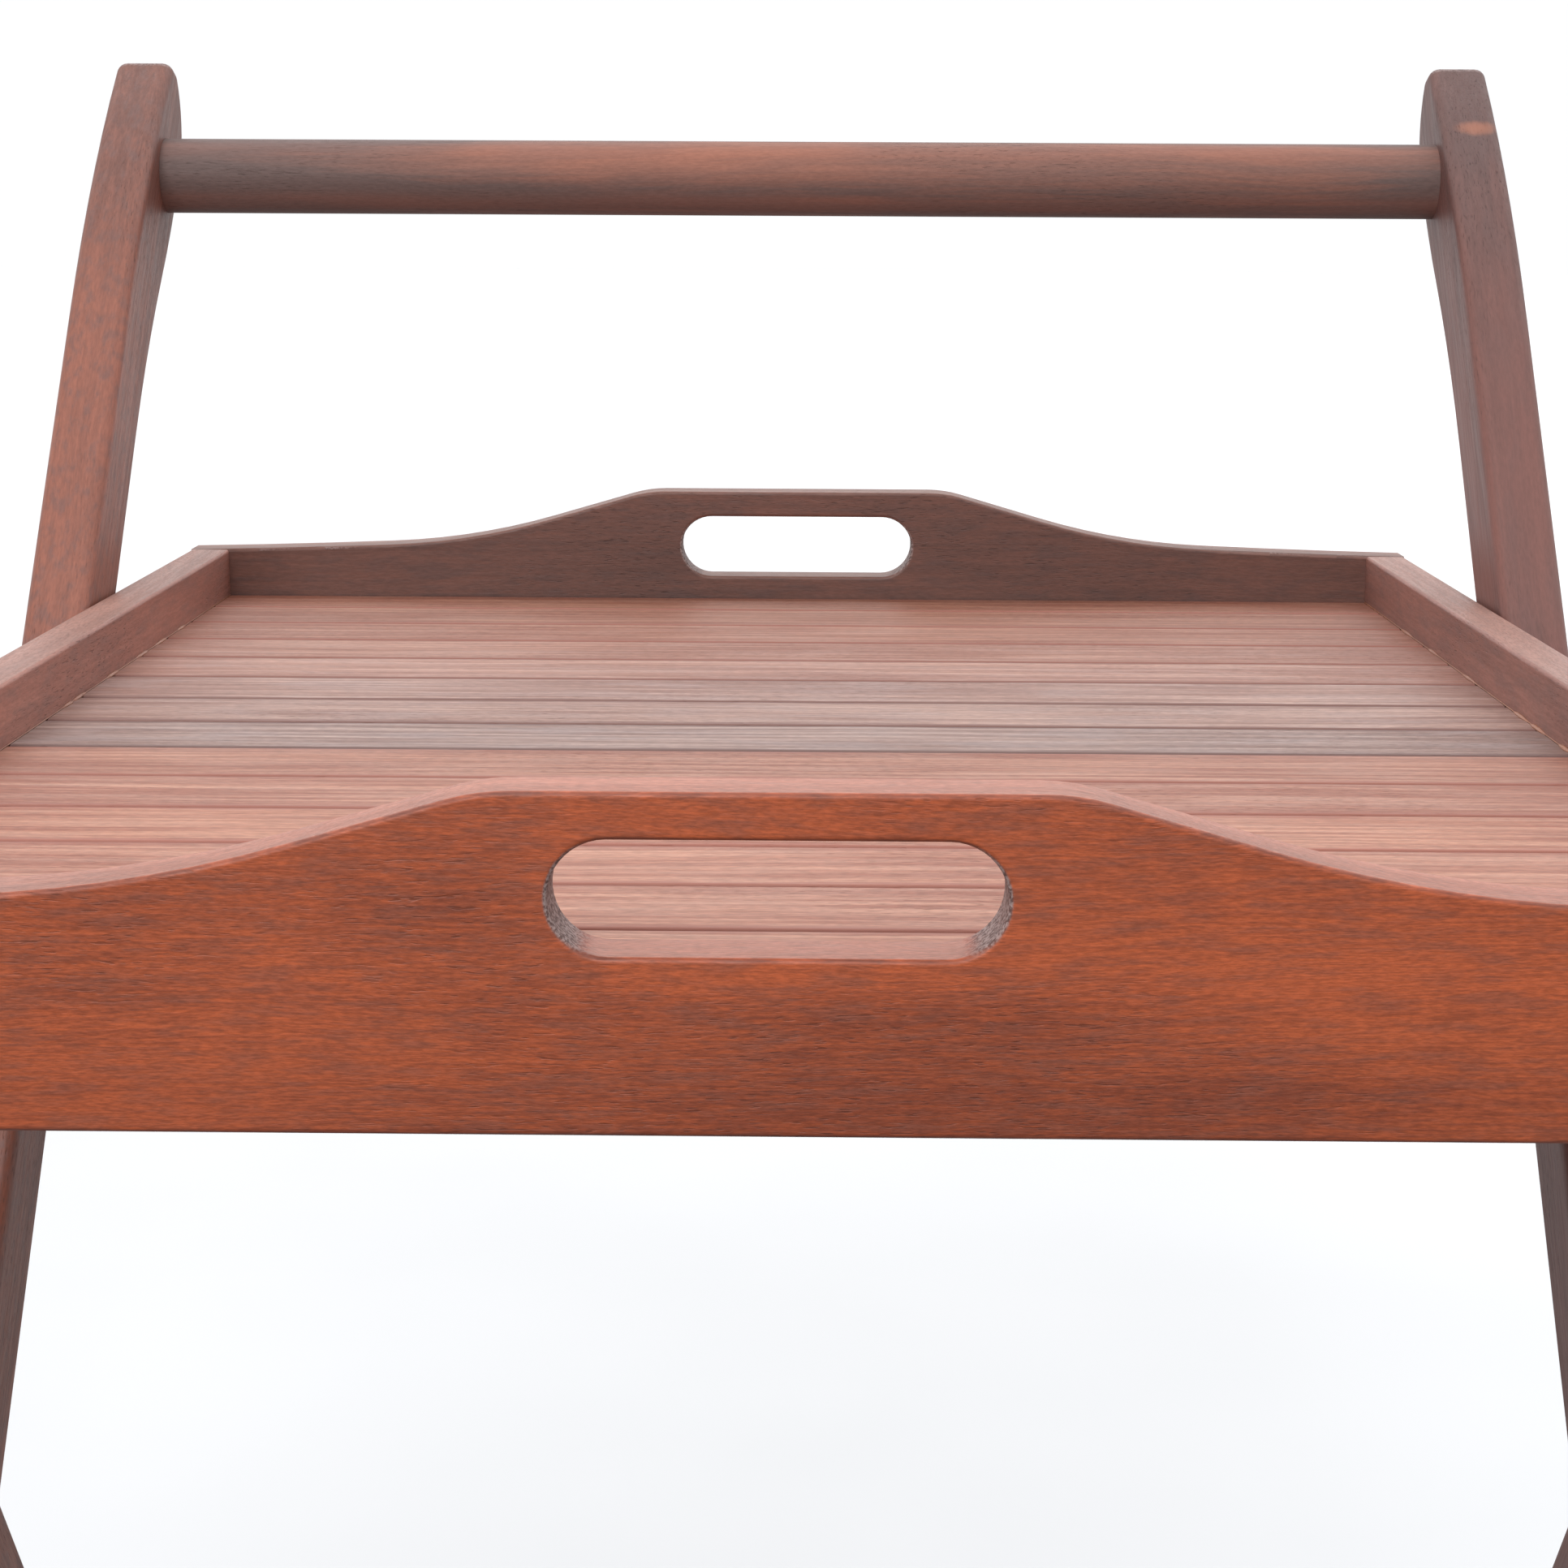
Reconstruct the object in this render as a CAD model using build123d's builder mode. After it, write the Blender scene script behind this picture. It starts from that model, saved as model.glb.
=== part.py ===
"""Folding tray table: a crossed-leg wooden stand with a carrying handle, and a lift-off slatted tray.

Millimetres, +Z up. X runs across the table, +Y runs from the front (the side the tray is lifted
from) to the rear (the side with the handle). The origin lies on the floor under the middle of the
open table. The long legs lean to the rear and carry the handle; the short legs lean to the front
and turn on the pivot bolts. The tray drops over the two support bars, one on each pair of legs.
"""
from build123d import *
from math import cos, radians, sin
import os

# ---------------------------------------------------------------- driving dimensions
FLOOR = 0.0

TRAY_WIDTH = 508.0
TRAY_DEPTH = 612.0
TRAY_FRONT = -300.85         # front face of the front end board
TRAY_BOTTOM = 553.0          # lower edge of the end boards and rails
WALL = 16.0                  # thickness of end boards and rails
RAIL_HEIGHT = 49.0           # also the height of the end boards at their ends
BOARD_HEIGHT = 74.5          # end boards at their raised middle
SLAT_TOP = 583.0
SLAT_THICKNESS = 10.0
SLAT_COUNT = 14
SLAT_PITCH = 42.0
SLAT_GAP = 2.0
SLAT_END_GAP = 0.5

HAND_HOLD_LENGTH = 96.0
HAND_HOLD_HEIGHT = 25.0
HAND_HOLD_LEVEL = SLAT_TOP + 21.7

LEG_WIDTH = 37.0
LEG_THICKNESS = 23.0
LONG_LEAN = 37.0             # degrees from upright, top to the rear
SHORT_LEAN = -33.0           # degrees from upright, top to the front
PIVOT_HEIGHT = 293.4
PIVOT_Y = TRAY_FRONT + 225.1
LONG_LEG_INNER = TRAY_WIDTH / 2 + 1.6
SHORT_LEG_INNER = TRAY_WIDTH / 2 - LEG_THICKNESS

HANDLE_RADIUS = 14.7
HANDLE_ALONG_LEG = 587.2     # from the pivot, along the long leg
HANDLE_OFFSET = 12.3         # behind the long leg's centre line
HANDLE_SOCKET_DEPTH = 10.0

BAR_THICKNESS = 20.0         # both support bars
FRONT_BAR_WIDTH = 38.0
FRONT_BAR_MIDDLE = TRAY_FRONT + 65.0
REAR_BAR_WIDTH = 30.0
REAR_BAR_MIDDLE = TRAY_FRONT + 417.0

NOTCH_DEPTH = 5.0            # how far the rails drop over the support bars
NOTCH_FRONT_PLAY = 1.0
FRONT_NOTCH_REAR_PLAY = 10.0
REAR_NOTCH_REAR_PLAY = 4.0
OVERCUT = 1.0                # how far a cutting shape reaches past the wood

STRETCHER_WIDTH = 36.0       # along the leg
STRETCHER_THICKNESS = 18.0   # across the leg
STRETCHER_ALONG_LEG = -255.0
STRETCHER_OFFSET = 8.0       # towards the outside of the folded stand

LEDGER_WIDTH = 14.0
LEDGER_HEIGHT = 12.0
BATTEN_WIDTH = 40.0

BOLT_RADIUS = 4.0
BOLT_HEAD_RADIUS = 9.0
BOLT_HEAD_THICKNESS = 3.0
BOLT_SOCKET_RADIUS = 3.0
BOLT_SOCKET_DEPTH = 2.0
BOLT_END_GAP = 5.5           # from the bolt's end to the nut's open face
WASHER_RADIUS = 9.0
WASHER_THICKNESS = LONG_LEG_INNER - TRAY_WIDTH / 2
NUT_ACROSS_FLATS = 13.0
NUT_HEIGHT = 6.5
NUT_DOME_RADIUS = 5.5
NUT_DOME_HEIGHT = 4.5
NUT_DOME_ROUNDING = 3.5
RUNNING_CLEARANCE = 0.05

SCREW_SHANK = 2.25
SCREW_HEAD = 4.5
SLAT_SCREW_SHANK = 1.6
SLAT_SCREW_HEAD = 3.4
SCREW_RECESS_RADIUS = 0.45   # as a share of the head's radius
SCREW_RECESS_DEPTH = 0.5

FRAME_SCREW_LENGTH = 46.0
FRONT_BAR_SCREW_LENGTH = 38.0
RAIL_SCREW_LENGTH = 40.0
SLAT_SCREW_LENGTH = LEDGER_HEIGHT + 6.0
BAR_SCREW_STEP = 8.0         # either side of the bar's middle
STRETCHER_SCREW_STEP = 9.0   # either side of the stretcher's middle
FRONT_BAR_SCREW_OFFSET = 5.0
CORNER_SCREW_HEIGHTS = (12.0, 37.0)

LONG_LEG_EASING = 4.5        # rounded edges
BAR_EASING = 2.5
BOARD_EASING = 1.3
SLAT_EASING = 0.9
SMALL_EASING = 1.0

# ---------------------------------------------------------------- derived levels
TRAY_REAR = TRAY_FRONT + TRAY_DEPTH
INNER_FRONT = TRAY_FRONT + WALL
INNER_REAR = TRAY_REAR - WALL
INNER_HALF_WIDTH = TRAY_WIDTH / 2 - WALL
SLAT_UNDERSIDE = SLAT_TOP - SLAT_THICKNESS
BAR_TOP = TRAY_BOTTOM + NOTCH_DEPTH
BAR_BOTTOM = BAR_TOP - BAR_THICKNESS
HALF_LEG = LEG_WIDTH / 2
LONG_LEG_OUTER = LONG_LEG_INNER + LEG_THICKNESS
SHORT_LEG_OUTER = SHORT_LEG_INNER + LEG_THICKNESS


# ---------------------------------------------------------------- shared helpers
def leg_plane(x, lean, along=0.0, offset=0.0):
    """Plane across a leg: its x runs up the leg, its y to the rear, its normal is -X."""
    up = Vector(0, sin(radians(lean)), cos(radians(lean)))
    rear = Vector(0, cos(radians(lean)), -sin(radians(lean)))
    pivot = Vector(x, PIVOT_Y, PIVOT_HEIGHT)
    return Plane(pivot + up * along + rear * offset, x_dir=up, z_dir=(-1, 0, 0))


def along_at(height, offset, lean):
    """How far up the leg, from the pivot, a point with this offset reaches this height."""
    return (height - PIVOT_HEIGHT + offset * sin(radians(lean))) / cos(radians(lean))


def easy_edges(part, radius):
    """Round every long edge of a bar that runs along X."""
    fillet(part.edges().filter_by(Axis.X), radius)


def make_screw(length, shank, head):
    """Countersunk screw: the head's top face is at the origin and the shank runs down -Z."""
    with BuildPart() as screw:
        with BuildSketch(Plane.XZ):
            with BuildLine():
                Polyline(
                    (0, 0), (head, 0), (shank, shank - head),
                    (shank, 2 * shank - length), (0, -length), (0, 0),
                )
            make_face()
        revolve(axis=Axis.Z)
        with BuildSketch():
            RegularPolygon(radius=SCREW_RECESS_RADIUS * head, side_count=6)
        extrude(amount=-SCREW_RECESS_DEPTH * head, mode=Mode.SUBTRACT)
    return screw.part


def screw_hole(place, shank, head, depth):
    """Clearance hole with a countersink, drilled from the plane down its -Z."""
    with Locations(place):
        CounterSinkHole(
            radius=shank + RUNNING_CLEARANCE,
            counter_sink_radius=head + RUNNING_CLEARANCE,
            depth=depth,
            counter_sink_angle=90,
        )


def pilot_hole(place, shank, depth):
    """Blind hole for the end of a screw, drilled from the plane down its -Z."""
    with Locations(place):
        Hole(radius=shank + RUNNING_CLEARANCE, depth=depth)


def screw_group(places, screw):
    """One node of identical screws, each a separate solid."""
    with BuildPart() as group:
        with Locations(*places):
            add(screw)
    return group.part


def both_sides(place):
    """The same place on the left and, mirrored, on the right."""
    origin = place.origin
    left = Plane(origin, x_dir=place.x_dir, z_dir=place.z_dir)
    mirrored_normal = (-place.z_dir.X, place.z_dir.Y, place.z_dir.Z)
    mirrored_x = (-place.x_dir.X, place.x_dir.Y, place.x_dir.Z)
    right = Plane((-origin.X, origin.Y, origin.Z), x_dir=mirrored_x, z_dir=mirrored_normal)
    return [left, right]


# ---------------------------------------------------------------- where the screws go
SIDE_SCREW_REACH = FRAME_SCREW_LENGTH - LEG_THICKNESS

handle_screw_place = leg_plane(-LONG_LEG_OUTER, LONG_LEAN, HANDLE_ALONG_LEG, HANDLE_OFFSET)
rear_bar_screw_places = [
    Plane((-LONG_LEG_OUTER, REAR_BAR_MIDDLE + step, BAR_TOP - BAR_THICKNESS / 2), z_dir=(-1, 0, 0))
    for step in (-BAR_SCREW_STEP, BAR_SCREW_STEP)
]
long_stretcher_screw_places = [
    leg_plane(-LONG_LEG_OUTER, LONG_LEAN, STRETCHER_ALONG_LEG + step, -STRETCHER_OFFSET)
    for step in (-STRETCHER_SCREW_STEP, STRETCHER_SCREW_STEP)
]
short_stretcher_screw_places = [
    leg_plane(-SHORT_LEG_OUTER, SHORT_LEAN, STRETCHER_ALONG_LEG + step, STRETCHER_OFFSET)
    for step in (-STRETCHER_SCREW_STEP, STRETCHER_SCREW_STEP)
]
front_bar_screw_place = Plane(
    (-SHORT_LEG_INNER - LEG_THICKNESS / 2, FRONT_BAR_MIDDLE + FRONT_BAR_SCREW_OFFSET, BAR_TOP)
)


# ---------------------------------------------------------------- stand: long legs and handle
# The head's outline, as distances up the leg from the pivot and behind its centre line.
LONG_FOOT_FRONT = (along_at(FLOOR, -HALF_LEG, LONG_LEAN), -HALF_LEG)
LONG_FOOT_BACK = (along_at(FLOOR, HALF_LEG, LONG_LEAN), HALF_LEG)
FRONT_BEND = (500.0, -HALF_LEG)
FRONT_TOP = (634.0, -1.5)
CROWN = (636.5, 8.0)
BULGE = (600.0, 33.0)
NECK = (545.0, 26.5)
BACK_BEND = (465.0, HALF_LEG)
CROWN_ROUNDING = 5.0

with BuildPart() as left_long_leg:
    with BuildSketch(leg_plane(-LONG_LEG_INNER, LONG_LEAN)) as outline:
        with BuildLine():
            Line(LONG_FOOT_BACK, LONG_FOOT_FRONT)
            Line(LONG_FOOT_FRONT, FRONT_BEND)
            TangentArc(FRONT_BEND, FRONT_TOP, tangent=(1, 0))
            Line(FRONT_TOP, CROWN)
            Line(LONG_FOOT_BACK, BACK_BEND)
            hollow = TangentArc(BACK_BEND, NECK, tangent=(1, 0))
            swell = TangentArc(NECK, BULGE, tangent=hollow % 1)
            TangentArc(BULGE, CROWN, tangent=swell % 1)
        make_face()
        fillet(outline.vertices().sort_by(Axis.X)[-2:], CROWN_ROUNDING)
    extrude(amount=LEG_THICKNESS)
    fillet(left_long_leg.faces().filter_by(Axis.X).edges(), LONG_LEG_EASING)
    with BuildSketch(leg_plane(-LONG_LEG_INNER, LONG_LEAN, HANDLE_ALONG_LEG, HANDLE_OFFSET)):
        Circle(HANDLE_RADIUS + RUNNING_CLEARANCE)
    extrude(amount=HANDLE_SOCKET_DEPTH, mode=Mode.SUBTRACT)
    pilot_hole(leg_plane(-LONG_LEG_OUTER, LONG_LEAN), BOLT_RADIUS, LEG_THICKNESS)
    for place in [handle_screw_place, *rear_bar_screw_places, *long_stretcher_screw_places]:
        screw_hole(place, SCREW_SHANK, SCREW_HEAD, LEG_THICKNESS)

with BuildPart() as right_long_leg:
    mirror(left_long_leg.part, about=Plane.YZ)

HANDLE_LENGTH = 2 * (LONG_LEG_INNER + HANDLE_SOCKET_DEPTH)
handle_end = leg_plane(-HANDLE_LENGTH / 2, LONG_LEAN, HANDLE_ALONG_LEG, HANDLE_OFFSET)

with BuildPart() as handle_rod:
    with BuildSketch(handle_end):
        Circle(HANDLE_RADIUS)
    extrude(amount=-HANDLE_LENGTH)
    chamfer(handle_rod.edges().filter_by(GeomType.CIRCLE), SMALL_EASING)
    for place in both_sides(handle_end):
        pilot_hole(place, SCREW_SHANK, FRAME_SCREW_LENGTH - LEG_THICKNESS + HANDLE_SOCKET_DEPTH)

with BuildPart() as rear_support_bar:
    with BuildSketch(Plane.YZ.offset(-LONG_LEG_INNER)):
        with Locations((REAR_BAR_MIDDLE, BAR_TOP - BAR_THICKNESS / 2)):
            Rectangle(REAR_BAR_WIDTH, BAR_THICKNESS)
    extrude(amount=2 * LONG_LEG_INNER)
    easy_edges(rear_support_bar, BAR_EASING)
    for middle in rear_bar_screw_places:
        end = Plane(middle.origin + Vector(LEG_THICKNESS, 0, 0), z_dir=middle.z_dir)
        for place in both_sides(end):
            pilot_hole(place, SCREW_SHANK, SIDE_SCREW_REACH)


def make_stretcher(inner_x, lean, offset, screw_places):
    """Flat bar between a pair of legs, near their feet."""
    with BuildPart() as stretcher:
        with BuildSketch(leg_plane(-inner_x, lean, STRETCHER_ALONG_LEG, offset)):
            Rectangle(STRETCHER_WIDTH, STRETCHER_THICKNESS)
        extrude(amount=-2 * inner_x)
        easy_edges(stretcher, BAR_EASING)
        for outside in screw_places:
            end = Plane(
                outside.origin + Vector(LEG_THICKNESS, 0, 0), x_dir=outside.x_dir, z_dir=outside.z_dir
            )
            for place in both_sides(end):
                pilot_hole(place, SCREW_SHANK, SIDE_SCREW_REACH)
    return stretcher.part


long_leg_stretcher = make_stretcher(
    LONG_LEG_INNER, LONG_LEAN, -STRETCHER_OFFSET, long_stretcher_screw_places
)

# ---------------------------------------------------------------- stand: short legs
with BuildPart() as left_short_leg:
    with BuildSketch(leg_plane(-SHORT_LEG_INNER, SHORT_LEAN)):
        with BuildLine():
            Polyline(
                (along_at(FLOOR, -HALF_LEG, SHORT_LEAN), -HALF_LEG),
                (along_at(BAR_BOTTOM, -HALF_LEG, SHORT_LEAN), -HALF_LEG),
                (along_at(BAR_BOTTOM, HALF_LEG, SHORT_LEAN), HALF_LEG),
                (along_at(FLOOR, HALF_LEG, SHORT_LEAN), HALF_LEG),
                close=True,
            )
        make_face()
    extrude(amount=LEG_THICKNESS)
    fillet(left_short_leg.faces().filter_by(Axis.X).edges(), BAR_EASING)
    pilot_hole(leg_plane(-SHORT_LEG_OUTER, SHORT_LEAN), BOLT_RADIUS, LEG_THICKNESS)
    for place in short_stretcher_screw_places:
        screw_hole(place, SCREW_SHANK, SCREW_HEAD, LEG_THICKNESS)
    leg_top = Plane(front_bar_screw_place.origin - Vector(0, 0, BAR_THICKNESS))
    pilot_hole(leg_top, SCREW_SHANK, FRONT_BAR_SCREW_LENGTH - BAR_THICKNESS)

with BuildPart() as right_short_leg:
    mirror(left_short_leg.part, about=Plane.YZ)

with BuildPart() as front_support_bar:
    with BuildSketch(Plane.YZ.offset(-SHORT_LEG_OUTER)):
        with Locations((FRONT_BAR_MIDDLE, BAR_TOP - BAR_THICKNESS / 2)):
            Rectangle(FRONT_BAR_WIDTH, BAR_THICKNESS)
    extrude(amount=2 * SHORT_LEG_OUTER)
    easy_edges(front_support_bar, BAR_EASING)
    for place in both_sides(front_bar_screw_place):
        screw_hole(place, SCREW_SHANK, SCREW_HEAD, BAR_THICKNESS)

short_leg_stretcher = make_stretcher(
    SHORT_LEG_INNER, SHORT_LEAN, STRETCHER_OFFSET, short_stretcher_screw_places
)

# ---------------------------------------------------------------- stand: pivot hardware
NUT_X = SHORT_LEG_INNER - WASHER_THICKNESS
BOLT_END = NUT_X - BOLT_END_GAP

with BuildPart() as pivot_bolts:
    for place in both_sides(leg_plane(-LONG_LEG_OUTER, 0.0)):
        with BuildSketch(place):
            Circle(BOLT_HEAD_RADIUS)
        extrude(amount=BOLT_HEAD_THICKNESS)
        with BuildSketch(place):
            Circle(BOLT_RADIUS)
        extrude(amount=-(LONG_LEG_OUTER - BOLT_END))
    fillet(
        pivot_bolts.faces().filter_by(Axis.X).group_by(SortBy.AREA)[-1].edges(), SMALL_EASING
    )
    for place in both_sides(leg_plane(-LONG_LEG_OUTER - BOLT_HEAD_THICKNESS, 0.0)):
        with BuildSketch(place):
            RegularPolygon(radius=BOLT_SOCKET_RADIUS, side_count=6)
        extrude(amount=-BOLT_SOCKET_DEPTH, mode=Mode.SUBTRACT)


def make_washers(outer_x):
    """A pair of flat washers, one on each side, whose outer faces are at outer_x."""
    with BuildPart() as washers:
        for place in both_sides(leg_plane(-outer_x, 0.0)):
            with BuildSketch(place):
                Circle(WASHER_RADIUS)
                Circle(BOLT_RADIUS + RUNNING_CLEARANCE, mode=Mode.SUBTRACT)
            extrude(amount=-WASHER_THICKNESS)
    return washers.part


spacer_washers = make_washers(LONG_LEG_INNER)
nut_washers = make_washers(SHORT_LEG_INNER)

with BuildPart() as cap_nuts:
    for place in both_sides(leg_plane(-NUT_X, 0.0)):
        with BuildSketch(place):
            RegularPolygon(radius=NUT_ACROSS_FLATS / 2, side_count=6, major_radius=False)
        extrude(amount=-NUT_HEIGHT)
        dome = Plane(place.origin, x_dir=(0, 0, 1), z_dir=place.z_dir).offset(-NUT_HEIGHT)
        with BuildSketch(dome):
            Circle(NUT_DOME_RADIUS)
        extrude(amount=-NUT_DOME_HEIGHT)
    # By area the dome's ends lie between the narrow ledges around them and the nut's broad faces.
    dome_ends = cap_nuts.faces().filter_by(Axis.X).group_by(SortBy.AREA)[1]
    fillet(dome_ends.edges(), NUT_DOME_ROUNDING)
    for place in both_sides(leg_plane(-NUT_X, 0.0)):
        pilot_hole(place, BOLT_RADIUS, NUT_X - BOLT_END)

# ---------------------------------------------------------------- tray: end boards and rails
CORNER_SCREW_X = TRAY_WIDTH / 2 - WALL / 2
front_corner_places = [
    Plane((side * CORNER_SCREW_X, TRAY_FRONT, TRAY_BOTTOM + height), z_dir=(0, -1, 0))
    for side in (-1, 1)
    for height in CORNER_SCREW_HEIGHTS
]
rear_corner_places = [
    Plane((side * CORNER_SCREW_X, TRAY_REAR, TRAY_BOTTOM + height), z_dir=(0, 1, 0))
    for side in (-1, 1)
    for height in CORNER_SCREW_HEIGHTS
]

# One half of the end boards' upper edge, from their middle and up from their lower edge.
SHOULDER = (62.0, BOARD_HEIGHT)
SLOPE_END = (102.0, 62.8)
CURVE_END = (170.0, 51.6)
SHOULDER_ROUNDING = 50.0


def make_end_board(front_face_y, screw_places):
    """End board with level ends, an S-curve up to its flat middle, and a hand hold."""
    half = TRAY_WIDTH / 2
    face = Plane((0, front_face_y, TRAY_BOTTOM), x_dir=(1, 0, 0), z_dir=(0, -1, 0))
    with BuildPart() as board:
        with BuildSketch(face) as outline:
            with BuildLine():
                Line((0, 0), (half, 0))
                Line((half, 0), (half, RAIL_HEIGHT))
                Line((0, BOARD_HEIGHT), SHOULDER)
                slope = Line(SHOULDER, SLOPE_END)
                hollow = TangentArc(SLOPE_END, CURVE_END, tangent=slope % 1)
                TangentArc(CURVE_END, (half, RAIL_HEIGHT), tangent=hollow % 1)
                mirror(about=Plane.YZ)
            make_face()
            top_corners = outline.vertices().group_by(Axis.Y)[-1].sort_by(Axis.X)
            fillet([top_corners[0], top_corners[-1]], SHOULDER_ROUNDING)
            with Locations((0, HAND_HOLD_LEVEL - TRAY_BOTTOM)):
                SlotOverall(HAND_HOLD_LENGTH, HAND_HOLD_HEIGHT, mode=Mode.SUBTRACT)
        extrude(amount=-WALL)
        fillet(board.faces().filter_by(Axis.Y).edges(), BOARD_EASING)
        for place in screw_places:
            screw_hole(place, SCREW_SHANK, SCREW_HEAD, WALL)
    return board.part


front_end_board = make_end_board(TRAY_FRONT, front_corner_places)
rear_end_board = make_end_board(INNER_REAR, rear_corner_places)

with BuildPart() as left_side_rail:
    with BuildSketch(Plane.XZ.offset(-INNER_FRONT)):
        with Locations((-TRAY_WIDTH / 2 + WALL / 2, TRAY_BOTTOM + RAIL_HEIGHT / 2)):
            Rectangle(WALL, RAIL_HEIGHT)
    extrude(amount=-(INNER_REAR - INNER_FRONT))
    fillet(left_side_rail.edges().filter_by(Axis.Y), BOARD_EASING)
    # The notches are wider than the bars on the side that the bar leaves by when the tray comes off.
    with BuildSketch(Plane.YZ.offset(-TRAY_WIDTH / 2 - OVERCUT)):
        for bar_middle, bar_width, rear_play in (
            (FRONT_BAR_MIDDLE, FRONT_BAR_WIDTH, FRONT_NOTCH_REAR_PLAY),
            (REAR_BAR_MIDDLE, REAR_BAR_WIDTH, REAR_NOTCH_REAR_PLAY),
        ):
            with Locations((bar_middle + (rear_play - NOTCH_FRONT_PLAY) / 2, TRAY_BOTTOM)):
                Rectangle(bar_width + NOTCH_FRONT_PLAY + rear_play, 2 * NOTCH_DEPTH)
    extrude(amount=WALL + 2 * OVERCUT, mode=Mode.SUBTRACT)
    for place in front_corner_places + rear_corner_places:
        if place.origin.X < 0:
            wood_end = place.offset(-WALL)
            pilot_hole(wood_end, SCREW_SHANK, RAIL_SCREW_LENGTH - WALL)

with BuildPart() as right_side_rail:
    mirror(left_side_rail.part, about=Plane.YZ)

# ---------------------------------------------------------------- tray: slatted floor
LEDGER_MIDDLE = INNER_HALF_WIDTH - LEDGER_WIDTH / 2
SLAT_SCREW_X = (-LEDGER_MIDDLE, 0.0, LEDGER_MIDDLE)


def slat_span(number):
    """Front and rear edge of one slat; the last one is ripped down to what is left."""
    front = INNER_FRONT + number * SLAT_PITCH + SLAT_GAP / 2
    rear = min(front + SLAT_PITCH - SLAT_GAP, INNER_REAR - SLAT_GAP / 2)
    return front, rear


slats = {}
for number in range(SLAT_COUNT):
    front, rear = slat_span(number)
    middle = (front + rear) / 2
    with BuildPart() as slat:
        with BuildSketch(Plane.YZ.offset(-INNER_HALF_WIDTH + SLAT_END_GAP)):
            with Locations((middle, SLAT_TOP - SLAT_THICKNESS / 2)):
                Rectangle(rear - front, SLAT_THICKNESS)
        extrude(amount=2 * (INNER_HALF_WIDTH - SLAT_END_GAP))
        fillet(slat.edges().filter_by(Axis.X).group_by(Axis.Z)[-1], SLAT_EASING)
        for x in SLAT_SCREW_X:
            underside = Plane((x, middle, SLAT_UNDERSIDE), z_dir=(0, 0, -1))
            pilot_hole(underside, SLAT_SCREW_SHANK, SLAT_SCREW_LENGTH - LEDGER_HEIGHT)
    slats[f"slat_{number + 1:02d}"] = slat.part


def make_floor_support(x, width):
    """Strip under the slats, from end board to end board, with a screw hole under each slat."""
    with BuildPart() as strip:
        with BuildSketch(Plane.XZ.offset(-INNER_FRONT)):
            with Locations((x, SLAT_UNDERSIDE - LEDGER_HEIGHT / 2)):
                Rectangle(width, LEDGER_HEIGHT)
        extrude(amount=-(INNER_REAR - INNER_FRONT))
        fillet(strip.edges().filter_by(Axis.Y).group_by(Axis.Z)[0], SMALL_EASING)
        for place in slat_screw_places(x):
            screw_hole(place, SLAT_SCREW_SHANK, SLAT_SCREW_HEAD, LEDGER_HEIGHT)
    return strip.part


def slat_screw_places(x):
    """Screws driven up from below, one under the middle of each slat."""
    level = SLAT_UNDERSIDE - LEDGER_HEIGHT
    return [Plane((x, sum(slat_span(n)) / 2, level), z_dir=(0, 0, -1)) for n in range(SLAT_COUNT)]


left_ledger_strip = make_floor_support(-LEDGER_MIDDLE, LEDGER_WIDTH)
centre_batten = make_floor_support(0.0, BATTEN_WIDTH)
right_ledger_strip = make_floor_support(LEDGER_MIDDLE, LEDGER_WIDTH)

# ---------------------------------------------------------------- screws
frame_screw = make_screw(FRAME_SCREW_LENGTH, SCREW_SHANK, SCREW_HEAD)
front_bar_screw = make_screw(FRONT_BAR_SCREW_LENGTH, SCREW_SHANK, SCREW_HEAD)
corner_screw = make_screw(RAIL_SCREW_LENGTH, SCREW_SHANK, SCREW_HEAD)
slat_screw = make_screw(SLAT_SCREW_LENGTH, SLAT_SCREW_SHANK, SLAT_SCREW_HEAD)


def on_both_sides(places):
    """Every place in the list, on the left and on the right."""
    return [side for place in places for side in both_sides(place)]


screws = {
    "handle_screws": screw_group(on_both_sides([handle_screw_place]), frame_screw),
    "rear_bar_screws": screw_group(on_both_sides(rear_bar_screw_places), frame_screw),
    "long_stretcher_screws": screw_group(on_both_sides(long_stretcher_screw_places), frame_screw),
    "short_stretcher_screws": screw_group(on_both_sides(short_stretcher_screw_places), frame_screw),
    "front_bar_screws": screw_group(on_both_sides([front_bar_screw_place]), front_bar_screw),
    "tray_corner_screws": screw_group(front_corner_places + rear_corner_places, corner_screw),
    "slat_screws": screw_group([p for x in SLAT_SCREW_X for p in slat_screw_places(x)], slat_screw),
}

# ---------------------------------------------------------------- write every node
nodes = {
    "left_long_leg": left_long_leg.part,
    "right_long_leg": right_long_leg.part,
    "handle_rod": handle_rod.part,
    "rear_support_bar": rear_support_bar.part,
    "long_leg_stretcher": long_leg_stretcher,
    "left_short_leg": left_short_leg.part,
    "right_short_leg": right_short_leg.part,
    "front_support_bar": front_support_bar.part,
    "short_leg_stretcher": short_leg_stretcher,
    "pivot_bolts": pivot_bolts.part,
    "spacer_washers": spacer_washers,
    "nut_washers": nut_washers,
    "cap_nuts": cap_nuts.part,
    "front_end_board": front_end_board,
    "rear_end_board": rear_end_board,
    "left_side_rail": left_side_rail.part,
    "right_side_rail": right_side_rail.part,
    "left_ledger_strip": left_ledger_strip,
    "centre_batten": centre_batten,
    "right_ledger_strip": right_ledger_strip,
    **slats,
    **screws,
}

os.makedirs("parts", exist_ok=True)
for name, part in nodes.items():
    part.label = name
    export_step(part, f"parts/{name}.step")
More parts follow.
